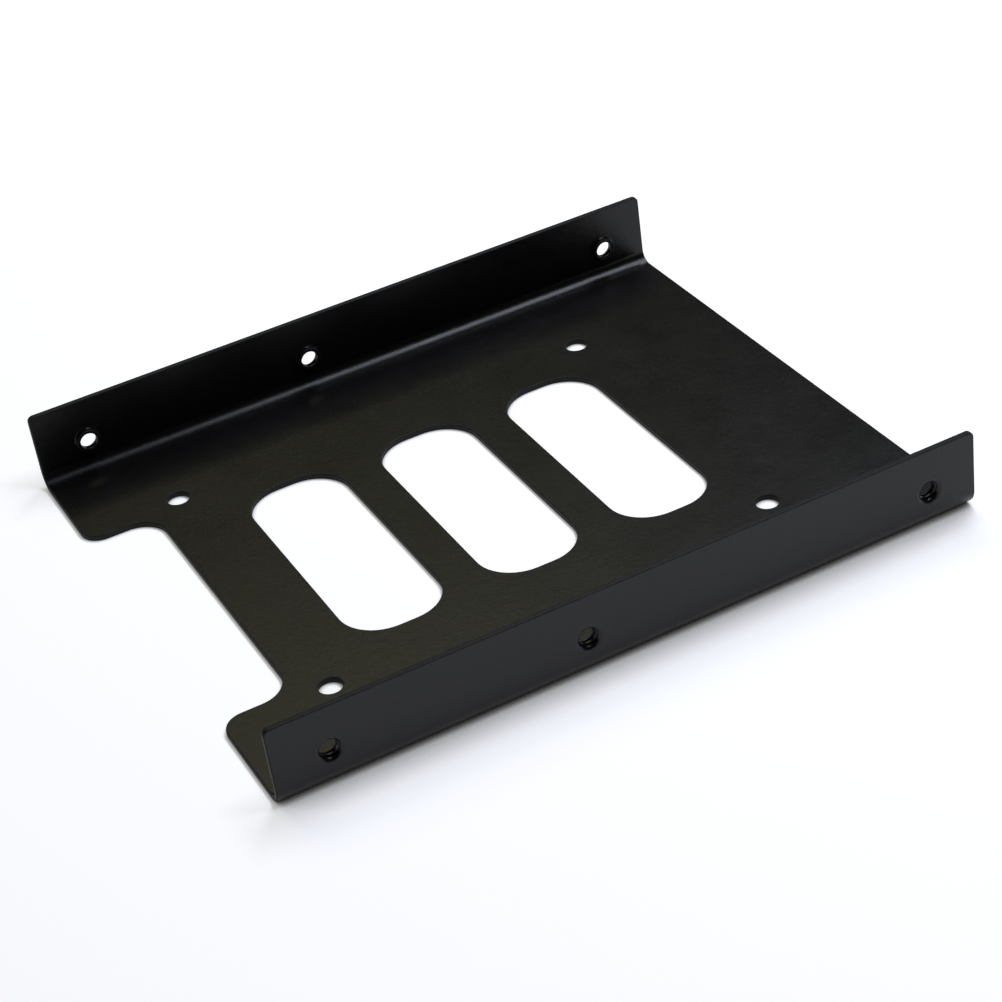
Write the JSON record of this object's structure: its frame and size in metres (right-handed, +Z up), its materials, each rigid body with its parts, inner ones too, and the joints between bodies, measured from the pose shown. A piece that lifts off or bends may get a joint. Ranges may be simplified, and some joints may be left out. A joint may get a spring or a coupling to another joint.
{
  "type": "hard drive tray",
  "caption": "Shallow folded steel tray with two side flanges, vent slots and a notch, which adapts a 2.5 inch drive to a 3.5 inch drive bay.",
  "frame": {"origin": "on the underside, midway along and across the tray", "axes": "+X along the tray from its notched end to its plain end, +Y across it, +Z up, the way the flanges are folded"},
  "size_m": [0.119, 0.1016, 0.014],
  "materials": {
    "black_paint": "black satin paint with a fine grain on steel sheet"
  },
  "bodies": {
    "root": {"drive_tray": "black_paint"}
  },
  "joints": []
}
